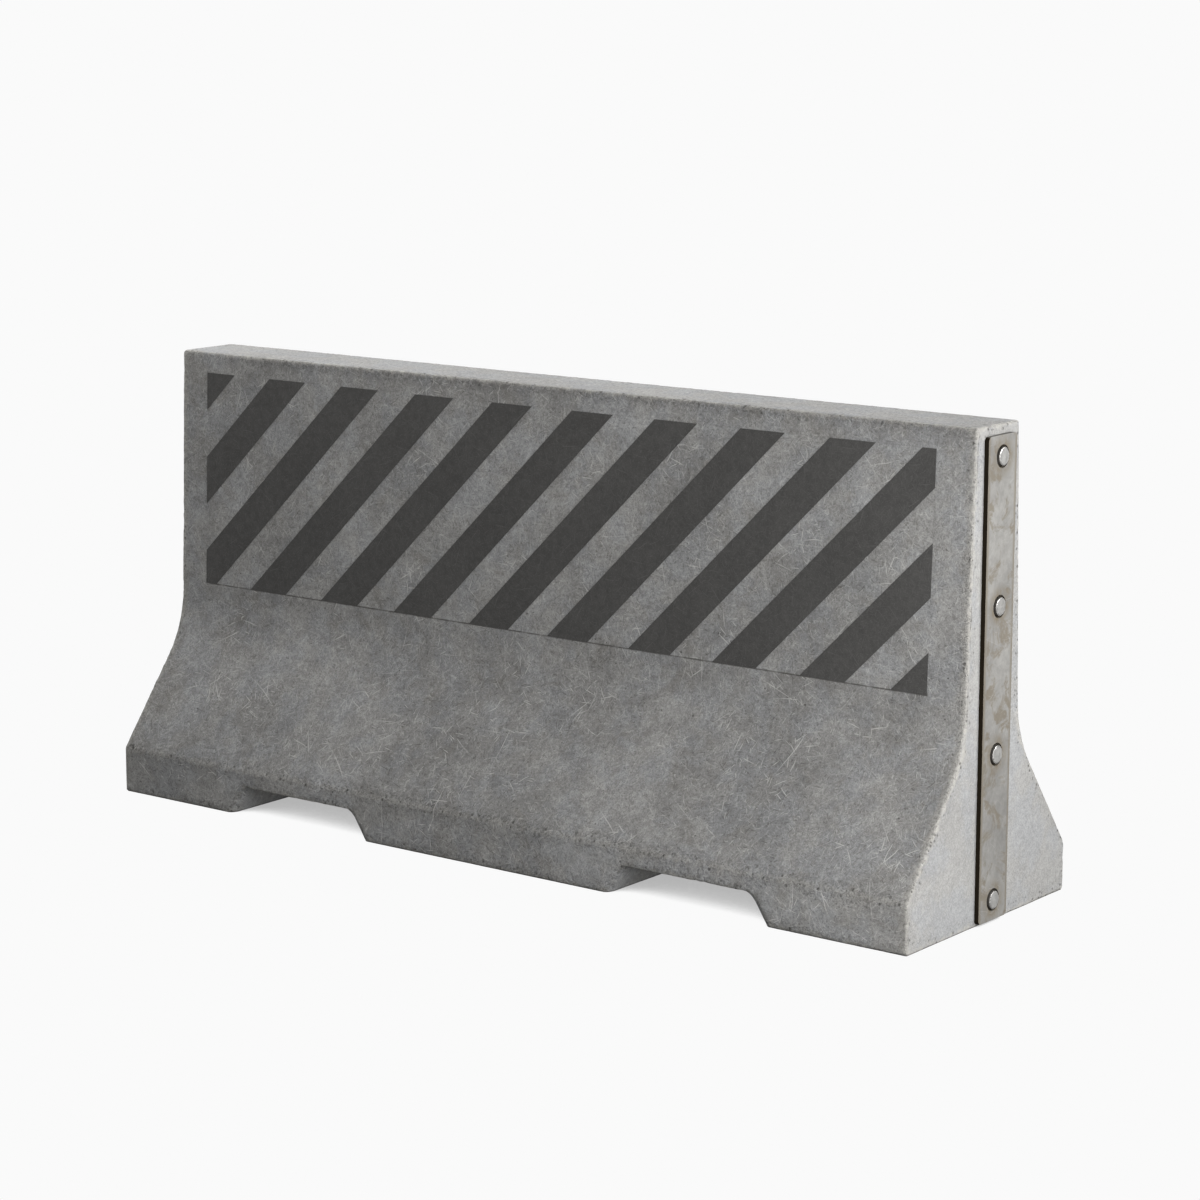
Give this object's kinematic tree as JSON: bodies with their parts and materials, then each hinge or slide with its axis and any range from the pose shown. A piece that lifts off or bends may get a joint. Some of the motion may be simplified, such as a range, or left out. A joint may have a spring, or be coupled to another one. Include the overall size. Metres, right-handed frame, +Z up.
{
  "type": "concrete jersey barrier",
  "caption": "Free-standing precast concrete safety barrier with a sloped New Jersey profile, fork slots, hazard stripes and bolted steel end plates.",
  "frame": {"origin": "centre of the resting face, on the ground, midway between the two ends and the two long sides", "axes": "+X along the barrier towards the end plate named right, +Y across the road towards the face named back, +Z up"},
  "size_m": [2.154, 0.6, 1],
  "materials": {
    "concrete": "matte",
    "stripe_paint": "matte",
    "plate_steel": "matte",
    "bolt_steel": "satin",
    "socket_steel": "satin",
    "bar_steel": "matte",
    "spacer_plastic": "matte"
  },
  "bodies": {
    "root": {"concrete_body": "concrete", "hazard_stripes_front": "stripe_paint", "hazard_stripes_back": "stripe_paint", "end_plate_right": "plate_steel", "end_plate_left": "plate_steel", "plate_bolts_right": "bolt_steel", "plate_bolts_left": "bolt_steel", "anchor_sockets_right": "socket_steel", "anchor_sockets_left": "socket_steel", "anchor_tails_right": "bar_steel", "anchor_tails_left": "bar_steel", "top_bars": "bar_steel", "upper_wall_bars": "bar_steel", "lower_wall_bars": "bar_steel", "knee_bars": "bar_steel", "shoulder_bars": "bar_steel", "foot_corner_bars": "bar_steel", "foot_inner_bars": "bar_steel", "stem_links": "bar_steel", "base_links": "bar_steel", "stem_spacers": "spacer_plastic", "base_spacers": "spacer_plastic"}
  },
  "joints": []
}
